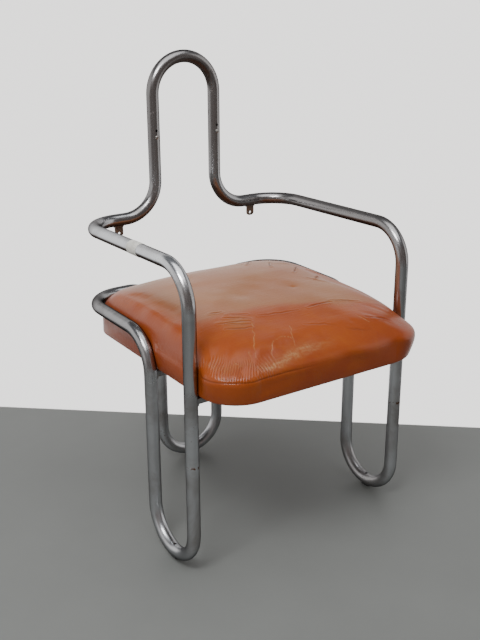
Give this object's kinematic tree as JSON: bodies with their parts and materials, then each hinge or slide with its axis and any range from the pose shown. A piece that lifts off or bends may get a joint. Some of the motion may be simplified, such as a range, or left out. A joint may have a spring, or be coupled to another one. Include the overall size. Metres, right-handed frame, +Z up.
{
  "type": "tubular armchair",
  "caption": "Armchair of one continuous run of bent chromed tube on three U legs, with a padded leather seat and a bare hairpin back loop.",
  "frame": {"origin": "on the floor, under the middle of the chair", "axes": "+Z up, the chair faces -Y, +X to the right as seen from the front"},
  "size_m": [0.5074, 0.512, 0.909],
  "materials": {
    "chrome": "worn chrome plate",
    "bare_steel": "dull bare steel",
    "dull_steel": "dull, part rusted steel",
    "black_plastic": "black glide",
    "plywood": "bare plywood",
    "foam": "aged open-cell foam",
    "leather": "worn orange-brown leather",
    "lining": "thin black lining cloth",
    "tape": "off-white tape"
  },
  "bodies": {
    "root": {"tube_back_loop": "chrome", "tube_arm_left": "chrome", "tube_arm_right": "chrome", "tube_side_left": "chrome", "tube_side_right": "chrome", "tube_rear": "chrome", "joint_sleeves": "bare_steel", "pad_lugs": "dull_steel", "lug_welds": "dull_steel", "pad_screws": "bare_steel", "crossbar_front": "dull_steel", "crossbar_rear": "dull_steel", "crossbar_welds": "dull_steel", "foot_glides": "black_plastic", "seat_bolts": "bare_steel", "seat_washers": "bare_steel", "tee_nuts": "bare_steel", "seat_board": "plywood", "seat_foam": "foam", "seat_cover": "leather", "seat_lining": "lining", "cover_staples": "bare_steel", "arm_tape": "tape"}
  },
  "joints": []
}
